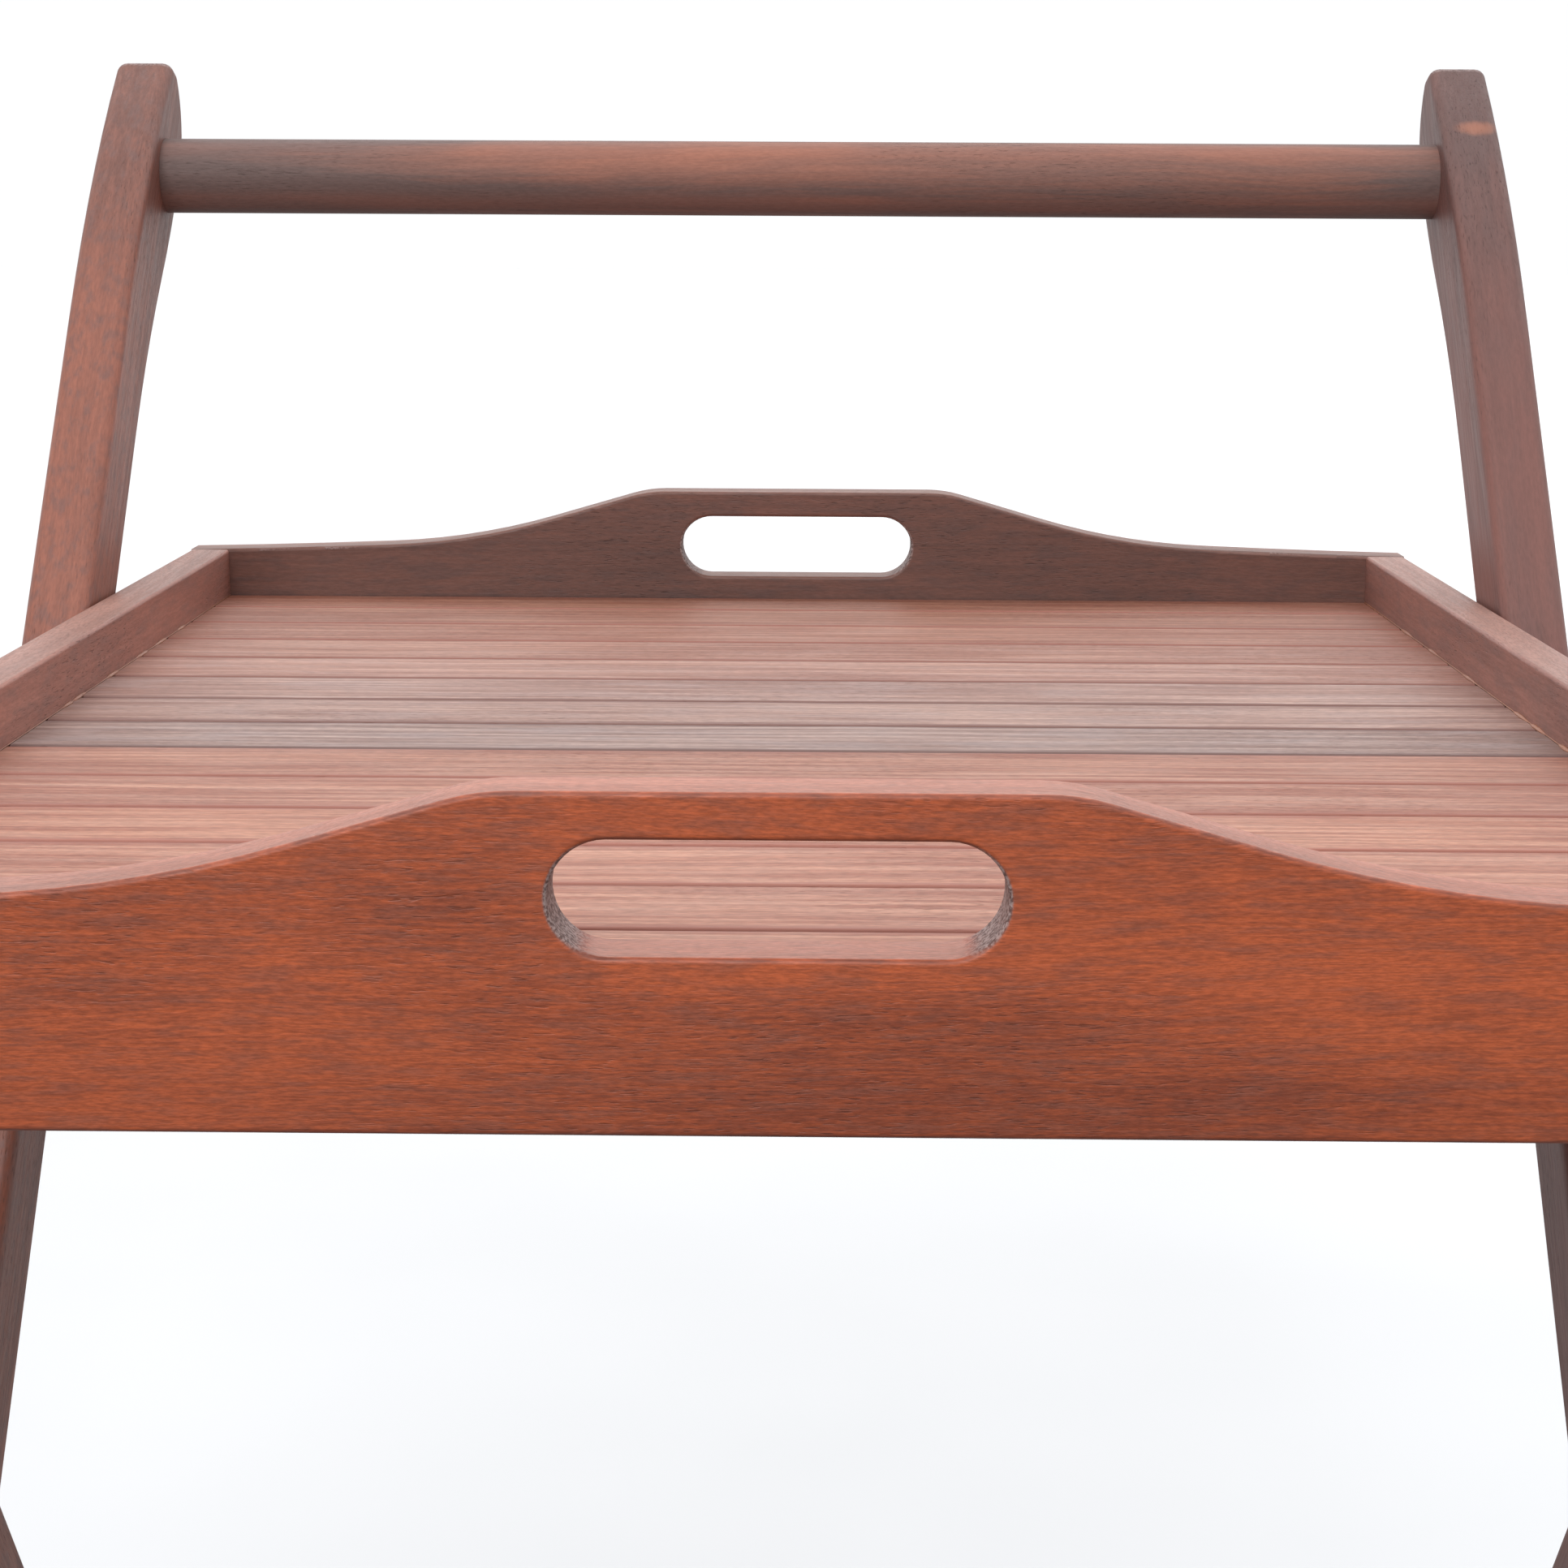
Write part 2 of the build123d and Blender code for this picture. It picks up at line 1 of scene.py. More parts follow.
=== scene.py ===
"""Looks for the folding tray table: oiled reddish hardwood, zinc pivot bolts and brass screws.

Metres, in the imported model's frame: X across, +Y to the rear, +Z up, floor at Z = 0.
"""
import random
from math import cos, pi, radians, sin

import bmesh
import bpy
from mathutils import Euler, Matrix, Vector


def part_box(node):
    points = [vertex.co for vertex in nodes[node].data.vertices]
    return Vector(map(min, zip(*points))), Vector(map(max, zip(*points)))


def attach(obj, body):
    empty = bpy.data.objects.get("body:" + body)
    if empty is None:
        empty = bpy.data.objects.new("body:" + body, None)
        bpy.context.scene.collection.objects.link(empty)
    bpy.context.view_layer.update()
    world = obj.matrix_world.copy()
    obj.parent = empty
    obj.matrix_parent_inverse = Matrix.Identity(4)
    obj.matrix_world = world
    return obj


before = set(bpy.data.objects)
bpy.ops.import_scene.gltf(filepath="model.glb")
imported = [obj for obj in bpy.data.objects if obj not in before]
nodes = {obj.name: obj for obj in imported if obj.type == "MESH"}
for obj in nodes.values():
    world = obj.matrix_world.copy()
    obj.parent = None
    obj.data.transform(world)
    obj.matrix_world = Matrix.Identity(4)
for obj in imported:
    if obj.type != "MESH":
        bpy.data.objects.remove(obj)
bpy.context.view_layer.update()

# ---------------------------------------------------------------- places read from the frame
# A box is its lowest corner and its highest corner.
front_low, front_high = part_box("front_end_board")
rear_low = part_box("rear_end_board")[0]
slat_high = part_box("slat_01")[1]
left_rail_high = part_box("left_side_rail")[1]
SLAT_TOP = slat_high.z
TRAY_FRONT = front_low.y
TRAY_FOOT = front_low.z
INNER_FRONT = front_high.y          # inner faces of the two end boards and of the rails
INNER_REAR = rear_low.y
RAIL_INNER_X = -left_rail_high.x
SLATS = [name for name in sorted(nodes) if name.startswith("slat_") and name != "slat_screws"]
LONG_LEAN = radians(37)             # lean of the legs from upright, positive to the rear
SHORT_LEAN = radians(-33)


# ---------------------------------------------------------------- camera and studio
LENS = 63.35                        # mm, on a sensor 36 mm wide
CAMERA_DISTANCE = 0.5536            # in front of the tray
CAMERA_HEIGHT = 0.1636              # above the slats
CAMERA_ASIDE = 0.0067               # to the right of the table's centre
LOOK_DOWN = radians(11.95)
LOOK_LEFT = radians(0.57)
ROLL = radians(0.29)

SKY_COLOUR = (0.985, 0.99, 1.0)
BACKDROP_GLOW = 1.02                # world strength behind the table
ROOM_GLOW = 0.3                     # and in front of it
BOUNCE_SHARE = 0.45                 # what is left of both below the horizon
OVERHEAD_STRENGTH = 1.4
OVERHEAD_WIDTH = radians(100)
OVERHEAD_TILT = (radians(-12), radians(6), 0)
KEY_PLACE = (-0.6, -2.3, 2.1)
KEY_TARGET = (0, 0, 0.6)
KEY_SIZE = (1.6, 1.2)
KEY_WATTS = 44

FLOOR_RADIUS = 30
FLOOR_NEAR = (0.77, 0.78, 0.795)
FLOOR_FAR = (0.97, 0.97, 0.98)
PALING = (0.3, 3.5)                 # Y from where to where the floor turns paler
KEY_SIDE_TONE = 0.91                # the paper is darker on the key light's side, to even it out
KEY_SIDE = (-0.6, 0.4)              # X from where to where that tone fades


def make_camera():
    """Stands in front of the tray at about the handle's height and looks down over it."""
    camera = bpy.data.cameras.new("camera")
    camera.sensor_width = 36
    camera.lens = LENS
    camera.clip_start = 0.01
    thing = bpy.data.objects.new("camera", camera)
    thing.location = (CAMERA_ASIDE, TRAY_FRONT - CAMERA_DISTANCE, SLAT_TOP + CAMERA_HEIGHT)
    aim = Euler((pi / 2 - LOOK_DOWN, 0, LOOK_LEFT)).to_matrix()
    turn = aim @ Euler((0, 0, ROLL)).to_matrix()
    thing.rotation_euler = turn.to_euler()
    bpy.context.scene.collection.objects.link(thing)
    bpy.context.scene.camera = thing


def make_key_light():
    """Soft box to the front left, turned to face the table."""
    light = bpy.data.lights.new("key", "AREA")
    light.shape = "RECTANGLE"
    light.size, light.size_y = KEY_SIZE
    light.energy = KEY_WATTS
    thing = bpy.data.objects.new("key", light)
    thing.location = KEY_PLACE
    facing = Vector(KEY_TARGET) - Vector(KEY_PLACE)
    thing.rotation_euler = facing.to_track_quat("-Z", "Y").to_euler()
    bpy.context.scene.collection.objects.link(thing)


def make_overhead_light():
    """Very wide, even light from above, so that the floor is as pale far off as near."""
    light = bpy.data.lights.new("overhead", "SUN")
    light.energy = OVERHEAD_STRENGTH
    light.angle = OVERHEAD_WIDTH
    thing = bpy.data.objects.new("overhead", light)
    thing.rotation_euler = OVERHEAD_TILT
    bpy.context.scene.collection.objects.link(thing)


def make_floor():
    """Round pale floor, wide enough to meet the horizon."""
    mesh = bpy.data.meshes.new("floor")
    shape = bmesh.new()
    bmesh.ops.create_circle(shape, cap_ends=True, segments=96, radius=FLOOR_RADIUS)
    shape.to_mesh(mesh)
    shape.free()
    floor = bpy.data.objects.new("floor", mesh)
    bpy.context.scene.collection.objects.link(floor)
    paper = bpy.data.materials.new("studio_floor")
    paper.use_nodes = True
    tree = paper.node_tree
    shader = tree.nodes["Principled BSDF"]
    place = make_node(tree, "ShaderNodeTexCoord").outputs["Object"]
    away = remap(tree, coordinate(tree, place, "Y"), *PALING)
    grit = make_node(tree, "ShaderNodeTexNoise", {"Vector": place, "Scale": 3.0}).outputs["Fac"]
    tone = calculate(tree, "ADD", away, remap(tree, grit, 0.3, 0.7, -0.05, 0.05))
    paint = colour_ramp(tree, tone, [(0.0, FLOOR_NEAR), (1.0, FLOOR_FAR)])
    evenness = remap(tree, coordinate(tree, place, "X"), *KEY_SIDE, KEY_SIDE_TONE, 1.0)
    paint = blend_colours(tree, 1.0, paint, grey(tree, evenness), mode="MULTIPLY")
    tree.links.new(paint, shader.inputs["Base Color"])
    shader.inputs["Roughness"].default_value = 0.8
    floor.data.materials.append(paper)
    # The wood is lit from below by the world's dimmer lower half and not by the floor.
    floor.visible_diffuse = False
    floor.visible_glossy = False


def make_world():
    """Bright backdrop behind and above the table, dimmer room in front of it."""
    world = bpy.data.worlds.new("studio")
    world.use_nodes = True
    tree = world.node_tree
    direction = make_node(tree, "ShaderNodeTexCoord").outputs["Generated"]
    strength = remap(tree, coordinate(tree, direction, "Y"), -0.7, 0.25, ROOM_GLOW, BACKDROP_GLOW)
    below = remap(tree, coordinate(tree, direction, "Z"), -0.3, -0.05, BOUNCE_SHARE, 1.0)
    strength = calculate(tree, "MULTIPLY", strength, below)
    background = tree.nodes["Background"]
    background.inputs["Color"].default_value = (*SKY_COLOUR, 1)
    tree.links.new(strength, background.inputs["Strength"])
    bpy.context.scene.world = world
    bpy.context.scene.view_settings.view_transform = "Standard"


# ---------------------------------------------------------------- node helpers
def make_node(tree, kind, inputs=None, **settings):
    """Adds a node; an input given as a socket is linked, any other is set."""
    node = tree.nodes.new(kind)
    for name, value in settings.items():
        setattr(node, name, value)
    for name, value in (inputs or {}).items():
        socket = node.inputs[name]
        if isinstance(value, bpy.types.NodeSocket):
            tree.links.new(value, socket)
        else:
            socket.default_value = value
    return node


def calculate(tree, operation, first, second=0.0, clamp=False):
    """One scalar sum, as a socket."""
    node = make_node(tree, "ShaderNodeMath", {0: first, 1: second}, operation=operation, use_clamp=clamp)
    return node.outputs[0]


def remap(tree, value, low, high, to_low=0.0, to_high=1.0):
    """Smoothly maps low..high onto to_low..to_high."""
    inputs = {"Value": value, "From Min": low, "From Max": high, "To Min": to_low, "To Max": to_high}
    node = make_node(tree, "ShaderNodeMapRange", inputs, interpolation_type="SMOOTHSTEP")
    return node.outputs[0]


def blend_colours(tree, factor, first, second, mode="MIX"):
    """Mixes two colours, each a socket or an RGB triple."""
    node = make_node(tree, "ShaderNodeMix", data_type="RGBA", blend_type=mode)
    for index, value in ((0, factor), (6, first), (7, second)):
        socket = node.inputs[index]
        if isinstance(value, bpy.types.NodeSocket):
            tree.links.new(value, socket)
        elif index:
            socket.default_value = (*value, 1)
        else:
            socket.default_value = value
    return node.outputs[2]


def grey(tree, value):
    """A scalar as a grey colour."""
    joined = make_node(tree, "ShaderNodeCombineColor", {0: value, 1: value, 2: value})
    return joined.outputs[0]


def coordinate(tree, vector, axis):
    """One of a vector's X, Y and Z."""
    return make_node(tree, "ShaderNodeSeparateXYZ", {0: vector}).outputs[axis]


def colour_ramp(tree, factor, stops):
    """Colour ramp from (position, RGB) stops."""
    node = make_node(tree, "ShaderNodeValToRGB", {"Fac": factor})
    ramp = node.color_ramp
    while len(ramp.elements) < len(stops):
        ramp.elements.new(0.5)
    for element, (position, colour) in zip(ramp.elements, stops):
        element.position = position
        element.color = (*colour, 1)
    return node.outputs["Color"]


def stretched_noise(tree, place, per_metre, detail=3.0, roughness=0.55):
    """Noise whose cells are stretched: per_metre is how many there are along, across and through."""
    scaled = make_node(tree, "ShaderNodeVectorMath", {0: place, 1: per_metre}, operation="MULTIPLY")
    inputs = {"Vector": scaled.outputs[0], "Scale": 1.0, "Detail": detail, "Roughness": roughness}
    return make_node(tree, "ShaderNodeTexNoise", inputs).outputs


# ---------------------------------------------------------------- timber tones and looks
ALONG_X = (1, 0, 0)
ALONG_Y = (0, 1, 0)
UP_LONG_LEG = (0, sin(LONG_LEAN), cos(LONG_LEAN))
UP_SHORT_LEG = (0, sin(SHORT_LEAN), cos(SHORT_LEAN))

# (light, dark, cool) tones of the timber; amber is the finish that has run along the slat ends
RUSSET = ((0.54, 0.118, 0.042), (0.26, 0.058, 0.026), (0.25, 0.085, 0.056))
UMBER = ((0.20, 0.090, 0.068), (0.11, 0.054, 0.044), (0.10, 0.062, 0.058))
RAIL_BROWN = ((0.42, 0.175, 0.130), (0.24, 0.104, 0.082), (0.23, 0.128, 0.112))
RAIL_MAUVE = ((0.35, 0.158, 0.125), (0.20, 0.094, 0.078), (0.20, 0.116, 0.106))
POST_RED = ((0.34, 0.115, 0.072), (0.18, 0.068, 0.049), (0.175, 0.088, 0.077))
POST_MAUVE = ((0.220, 0.087, 0.070), (0.13, 0.060, 0.052), (0.13, 0.074, 0.070))
ROD_BROWN = ((0.37, 0.150, 0.100), (0.165, 0.112, 0.103), (0.19, 0.120, 0.108))
ROSE = ((0.51, 0.243, 0.160), (0.30, 0.103, 0.063), (0.385, 0.186, 0.132))
ASH_ROSE = ((0.44, 0.303, 0.262), (0.23, 0.136, 0.114), (0.31, 0.238, 0.232))
AMBER = ((0.40, 0.165, 0.085), (0.24, 0.090, 0.055), (0.28, 0.120, 0.080))

END_GRAIN_PALE = (0.40, 0.310, 0.295)
END_GRAIN_DARK = (0.12, 0.078, 0.072)
# tone of the painted sheen on faces that look up
TOP_SHEEN_TONE = (0.37, 0.205, 0.165)
# painted shade and oil staining along the slats' gaps; GAP_SHADOW is its painted shadow tone on the grey
# slats
GAP_STAIN_AND_SHADE = (0.34, 0.122, 0.086)
GAP_SHADOW = (0.15, 0.085, 0.075)
RUBBED = (0.42, 0.150, 0.095)
DEEP_RED = (0.13, 0.030, 0.017)
WORN_ORANGE = (0.44, 0.160, 0.088)

SHADE_AND_STAIN_WIDTH = 0.0026                # of the painted shade and oil staining beside the slats' gaps
SHADE_AND_STAIN_FULL = 0.0008                 # how near the gap it is at its strongest
RELIEF_DEPTH = 0.00035              # of the fibres and pores
GRAIN_WAVE = 0.014                  # how far the grain drifts sideways

# fibres per metre along and across the grain
NEAR_FIBRE = (90, 1300)
FAR_FIBRE = (30, 600)
SLAT_FIBRE = (14, 420)

# What every board has unless its own look says otherwise
PLAIN_LOOK = {
    "figure": 0.4,               # strength of the growth bands
    "contrast": 0.8,             # strength of the fibres and flecks
    "cloud": 0.16,               # strength of the broad light and dark patches
    "chill": 0.45,               # strength of the cool blotches
    "fibre": FAR_FIBRE,          # one of the three above
    "fleck": (300, 1400),        # flecks per metre along and across the grain
    "bands": 95,                 # growth bands per metre across the grain
    "mottle": (60, 260),         # cool blotches per metre along and across the grain
    "gloss": 0.42,               # lowest roughness
    "specular": 0.5,             # strength of the shine
    "edge_tone": RUBBED,         # colour of the rounded edges
    "edge_strength": 0.2,        # how much of that colour they take
    "shades": (),                # (axis, start, full, amount) ramps of painted shade that darken it
    "top_sheen": 0.0,               # how much paler it is where it faces up: painted sheen
    "gap_lines": None,           # Y of two edges with painted shade and oil staining along them
    "spot": None,                # X, Z, half width and half height of a worn mark
}


# ---------------------------------------------------------------- the wood shader
def grain_axes(along):
    """Directions along, across and through the grain."""
    along = Vector(along).normalized()
    through = Vector((0, 0, 1)) if abs(along.z) < 0.5 else Vector((1, 0, 0))
    across = through.cross(along).normalized()
    return along, across, along.cross(across)


def grain_space(tree, source, axes, shift=(0, 0, 0)):
    """The source vector resolved along the grain's axes."""
    parts = []
    for axis, offset in zip(axes, shift):
        dot = make_node(tree, "ShaderNodeVectorMath", {0: source, 1: axis}, operation="DOT_PRODUCT")
        parts.append(calculate(tree, "ADD", dot.outputs["Value"], offset))
    joined = make_node(tree, "ShaderNodeCombineXYZ", {"X": parts[0], "Y": parts[1], "Z": parts[2]})
    return joined.outputs[0]


def edge_mask(tree, normal, axes):
    """1 on the rounded edges of a squared bar, where the surface faces along none of its axes."""
    facing = grain_space(tree, normal, axes)
    size = make_node(tree, "ShaderNodeVectorMath", {0: facing}, operation="ABSOLUTE")
    split = make_node(tree, "ShaderNodeSeparateXYZ", {0: size.outputs[0]})
    largest = calculate(tree, "MAXIMUM", split.outputs[0], split.outputs[1])
    largest = calculate(tree, "MAXIMUM", largest, split.outputs[2])
    return remap(tree, largest, 0.97, 0.8)


def wavy_grain(tree, straight):
    """Straight grain coordinates with a slow drift added across them."""
    drift = stretched_noise(tree, straight, (3.5, 16, 16), detail=2.0)
    centred = make_node(
        tree, "ShaderNodeVectorMath", {0: drift["Color"], 1: (0.5, 0.5, 0.5)}, operation="SUBTRACT"
    )
    wave = make_node(
        tree, "ShaderNodeVectorMath", {0: centred.outputs[0], 1: (0, GRAIN_WAVE, GRAIN_WAVE)},
        operation="MULTIPLY",
    )
    grain = make_node(tree, "ShaderNodeVectorMath", {0: straight, 1: wave.outputs[0]}, operation="ADD")
    return grain.outputs[0]


def grain_noises(tree, straight, look):
    """Every noise that the colour, gloss and relief of one board share."""
    grain = wavy_grain(tree, straight)
    lengthwise, crosswise = look["fibre"]
    bands = look["bands"]
    fleck_length, fleck_width = look["fleck"]
    mottle_length, mottle_width = look["mottle"]
    scales = {
        "growth": (grain, (1.1, bands, 0.6 * bands), 2.5),
        "fibres": (grain, (lengthwise, crosswise, crosswise), 4.0),
        "flecks": (grain, (fleck_length, fleck_width, fleck_width), 3.0),
        "dashes": (grain, (220, 2100, 2100), 1.0),
        "blotches": (grain, (mottle_length, mottle_width, mottle_width), 3.0),
        "patches": (straight, (6, 16, 16), 2.0),
        "speckle": (straight, (1200, 1200, 1200), 2.0),
    }
    noises = {
        name: stretched_noise(tree, space, per_metre, detail)["Fac"]
        for name, (space, per_metre, detail) in scales.items()
    }
    open_pores = calculate(
        tree, "MULTIPLY", remap(tree, noises["dashes"], 0.6, 0.72), remap(tree, noises["patches"], 0.4, 0.62)
    )
    noises["pores"] = open_pores
    return noises


def timber_colour(tree, noises, place, tones, look):
    """Growth bands, fibres, cool blotches, flecks and open pores, with ramps of painted shade."""
    light, dark, cool = tones
    contrast = look["contrast"]
    tone = calculate(tree, "MULTIPLY", remap(tree, noises["growth"], 0.32, 0.68), look["figure"])
    streak = calculate(tree, "MULTIPLY", remap(tree, noises["fibres"], 0.3, 0.7), 0.5 * contrast)
    tone = calculate(tree, "ADD", tone, streak)
    cloud = remap(tree, noises["patches"], 0.35, 0.7, -look["cloud"], look["cloud"])
    tone = calculate(tree, "ADD", tone, cloud, clamp=True)
    # Painted shade: each ramp draws the tone towards the dark one.
    for axis, start, full, amount in look["shades"]:
        painted_shade = remap(tree, coordinate(tree, place, axis), start, full, 0.0, amount)
        tone = calculate(tree, "ADD", tone, painted_shade, clamp=True)
    colour = blend_colours(tree, tone, light, dark)
    chill = remap(tree, noises["blotches"], 0.42, 0.7, 0.0, look["chill"])
    colour = blend_colours(tree, chill, colour, cool)
    fleck_tone = remap(tree, noises["flecks"], 0.3, 0.7, 1 - 0.16 * contrast, 1 + 0.14 * contrast)
    colour = blend_colours(tree, 1.0, colour, grey(tree, fleck_tone), mode="MULTIPLY")
    pore_depth = calculate(tree, "MULTIPLY", noises["pores"], 0.55)
    return blend_colours(tree, pore_depth, colour, [0.4 * part for part in dark])


def painted_top_sheen(tree, colour, noises, normal, amount):
    """Painted sheen: paler, streaky wood where the surface faces up."""
    factor = remap(tree, coordinate(tree, normal, "Z"), 0.89, 0.975, 0.0, amount)
    streaks = remap(tree, noises["growth"], 0.3, 0.7, 1.25, 0.75)
    streaks = calculate(tree, "MULTIPLY", streaks, remap(tree, noises["flecks"], 0.35, 0.65, 0.8, 1.15))
    pale = blend_colours(tree, 1.0, grey(tree, streaks), TOP_SHEEN_TONE, mode="MULTIPLY")
    return blend_colours(tree, factor, colour, pale)


def gap_shade_and_stain(tree, colour, noises, place, lines, shade_and_stain_tone):
    """Uneven painted shade and oil staining along the two long edges of a slat, at Y = lines."""
    y = coordinate(tree, place, "Y")
    inset = calculate(
        tree, "MINIMUM", calculate(tree, "SUBTRACT", y, lines[0]), calculate(tree, "SUBTRACT", lines[1], y)
    )
    inset = calculate(tree, "ADD", inset, remap(tree, noises["blotches"], 0.3, 0.7, -0.0012, 0.0010))
    shade_and_stain = remap(tree, inset, SHADE_AND_STAIN_WIDTH, SHADE_AND_STAIN_FULL, 0.0, 0.8)
    return blend_colours(tree, shade_and_stain, colour, shade_and_stain_tone)


def rubbed_spot(tree, colour, noises, place, spot):
    """Small bright worn mark: its X and Z, and its half width and half height."""
    x, z, half_width, half_height = spot
    across = calculate(tree, "SUBTRACT", coordinate(tree, place, "X"), x)
    upward = calculate(tree, "SUBTRACT", coordinate(tree, place, "Z"), z)
    across = calculate(tree, "POWER", calculate(tree, "DIVIDE", across, half_width), 2)
    upward = calculate(tree, "POWER", calculate(tree, "DIVIDE", upward, half_height), 2)
    reach = calculate(tree, "ADD", across, upward)
    reach = calculate(tree, "ADD", reach, remap(tree, noises["fibres"], 0.3, 0.7, -0.15, 0.15))
    return blend_colours(tree, remap(tree, reach, 1.4, -0.2, 0.0, 0.75), colour, WORN_ORANGE)


def edge_wear_and_shade(tree, colour, noises, edges, look):
    """Uneven worn tone along the rounded edges; on the slats that tone is the gaps' painted shade and oil
    staining.
    """
    strength = look["edge_strength"]
    wear_and_shade = remap(tree, noises["blotches"], 0.3, 0.65, 0.45 * strength, strength)
    wear_and_shade = calculate(tree, "MULTIPLY", edges, wear_and_shade)
    return blend_colours(tree, wear_and_shade, colour, look["edge_tone"])


def end_grain_mask(tree, normal, axes):
    """0.9 where the surface is cut across the grain, 0 along it."""
    lengthways = make_node(
        tree, "ShaderNodeVectorMath", {0: normal, 1: axes[0]}, operation="DOT_PRODUCT"
    )
    cut_across = calculate(tree, "ABSOLUTE", lengthways.outputs["Value"])
    return remap(tree, cut_across, 0.15, 0.7, 0.0, 0.9)


def wood_roughness(tree, noises, end_mix, gloss):
    """Rougher in the pores and on the end grain; gloss is the lowest roughness."""
    rough = remap(tree, noises["fibres"], 0.25, 0.75, gloss, gloss + 0.14)
    rough = calculate(tree, "ADD", rough, calculate(tree, "MULTIPLY", noises["pores"], 0.2))
    return calculate(tree, "ADD", rough, calculate(tree, "MULTIPLY", end_mix, 0.25))


def wood_bump(tree, noises, end_mix):
    """Raised fibres and flecks, sunken pores and a coarse end grain."""
    relief = calculate(tree, "ADD", calculate(tree, "MULTIPLY", noises["fibres"], 0.5),
                       calculate(tree, "MULTIPLY", noises["flecks"], 0.35))
    relief = calculate(tree, "SUBTRACT", relief, calculate(tree, "MULTIPLY", noises["pores"], 0.6))
    relief = calculate(tree, "ADD", relief, calculate(tree, "MULTIPLY", noises["speckle"], end_mix))
    bump = make_node(
        tree, "ShaderNodeBump", {"Height": relief, "Strength": 0.5, "Distance": RELIEF_DEPTH}
    )
    return bump.outputs[0]


def wood_material(name, along, tones, seed, **changes):
    """Oiled open-pored hardwood with the given (light, dark, cool) tones.

    The changes are to PLAIN_LOOK, which says what each of them is.
    """
    look = {**PLAIN_LOOK, **changes}
    material = bpy.data.materials.new(name)
    material.use_nodes = True
    tree = material.node_tree
    shader = tree.nodes["Principled BSDF"]
    dice = random.Random(seed)
    shift = [dice.uniform(2, 9) for _ in range(3)]
    axes = grain_axes(along)
    coordinates = make_node(tree, "ShaderNodeTexCoord")
    place = coordinates.outputs["Object"]
    normal = coordinates.outputs["Normal"]
    straight = grain_space(tree, place, axes, shift)
    noises = grain_noises(tree, straight, look)

    colour = timber_colour(tree, noises, place, tones, look)
    # painted sheen where the surface faces up
    if look["top_sheen"]:
        colour = painted_top_sheen(tree, colour, noises, normal, look["top_sheen"])
    if look["gap_lines"]:
        # painted shade and oil staining along the slats' gaps
        colour = gap_shade_and_stain(tree, colour, noises, place, look["gap_lines"], look["edge_tone"])
    if look["spot"]:
        colour = rubbed_spot(tree, colour, noises, place, look["spot"])
    # worn edges; on the slats, painted shade and oil staining
    colour = edge_wear_and_shade(tree, colour, noises, edge_mask(tree, normal, axes), look)
    end_mix = end_grain_mask(tree, normal, axes)
    end_grain = remap(tree, noises["speckle"], 0.4, 0.62)
    end_grain = blend_colours(tree, end_grain, END_GRAIN_PALE, END_GRAIN_DARK)
    colour = blend_colours(tree, end_mix, colour, end_grain)

    tree.links.new(colour, shader.inputs["Base Color"])
    tree.links.new(wood_roughness(tree, noises, end_mix, look["gloss"]), shader.inputs["Roughness"])
    tree.links.new(wood_bump(tree, noises, end_mix), shader.inputs["Normal"])
    shader.inputs["Specular IOR Level"].default_value = look["specular"]
    return material


# ---------------------------------------------------------------- which board gets what
def give(node_name, material):
    """Puts one material on a CAD node."""
    mesh = nodes[node_name].data
    mesh.materials.clear()
    mesh.materials.append(material)


def rod_shades():
    """Painted shade on the handle rod: darker at both ends (the posts' shadow, with some dirt), along its
    underside and a little along its top, which damps its shine.
    """
    low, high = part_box("handle_rod")
    end = high.x
    # Each is (axis, where it starts, where it is full, amount), as in PLAIN_LOOK.
    return (
        ("X", -0.3 * end, -end, 0.9),
        ("X", 0.75 * end, end, 0.5),
        ("Z", high.z - 0.010, low.z + 0.008, 0.5),
        ("Z", high.z - 0.005, high.z, 0.3),
    )


